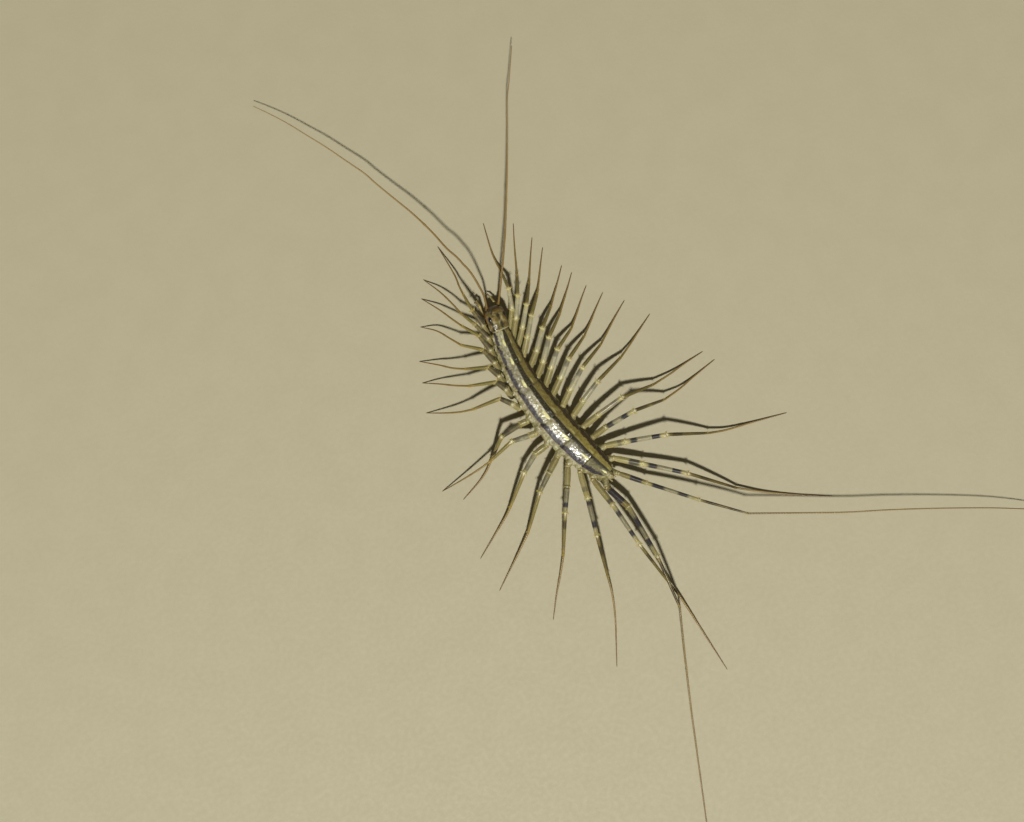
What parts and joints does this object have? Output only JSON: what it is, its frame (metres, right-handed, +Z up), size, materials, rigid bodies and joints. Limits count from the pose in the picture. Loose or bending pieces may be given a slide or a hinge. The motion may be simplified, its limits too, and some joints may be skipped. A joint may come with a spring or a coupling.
{
  "type": "house centipede",
  "caption": "Life-size model of a standing house centipede with arched back plates, long jointed legs spread on the floor and two long thin feelers.",
  "frame": {"origin": "centre of the bounding box on the floor the feet stand on", "axes": "+Y toward the tail along the mean line of the body, +X toward the animal's left, +Z up out of its back; the longest legs trail toward +Y"},
  "size_m": [0.0732, 0.1296, 0.0066],
  "materials": {
    "head": "satin brown cuticle with dark marks",
    "eye": "glossy blue-black faceted",
    "feeler": "orange-brown paling to straw",
    "mouthpart": "satin amber",
    "trunk": "soft pale tan skin",
    "plate": "satin olive-grey with dark stripes",
    "leg_front": "translucent olive-yellow cuticle",
    "leg_rear": "translucent olive-yellow cuticle with dark bands"
  },
  "bodies": {
    "root": {"head": "head", "eye_l": "eye", "eye_r": "eye", "antenna_l": "feeler", "antenna_r": "feeler", "forcipule_l": "mouthpart", "forcipule_r": "mouthpart", "palp_l": "mouthpart", "palp_r": "mouthpart", "trunk": "trunk", "telson": "trunk", "tergite_1": "plate", "tergite_2": "plate", "tergite_3": "plate", "tergite_4": "plate", "tergite_5": "plate", "tergite_6": "plate", "tergite_7": "plate", "leg_l01": "leg_front", "leg_l02": "leg_front", "leg_l03": "leg_front", "leg_l04": "leg_front", "leg_l05": "leg_front", "leg_l06": "leg_front", "leg_l07": "leg_front", "leg_l08": "leg_front", "leg_l09": "leg_front", "leg_l10": "leg_rear", "leg_l11": "leg_rear", "leg_l12": "leg_rear", "leg_l13": "leg_rear", "leg_l14": "leg_rear", "leg_l15": "leg_rear", "leg_r01": "leg_front", "leg_r02": "leg_front", "leg_r03": "leg_front", "leg_r04": "leg_front", "leg_r05": "leg_front", "leg_r06": "leg_front", "leg_r07": "leg_front", "leg_r08": "leg_front", "leg_r09": "leg_front", "leg_r10": "leg_rear", "leg_r11": "leg_rear", "leg_r12": "leg_rear", "leg_r13": "leg_rear", "leg_r14": "leg_rear", "leg_r15": "leg_rear"}
  },
  "joints": []
}
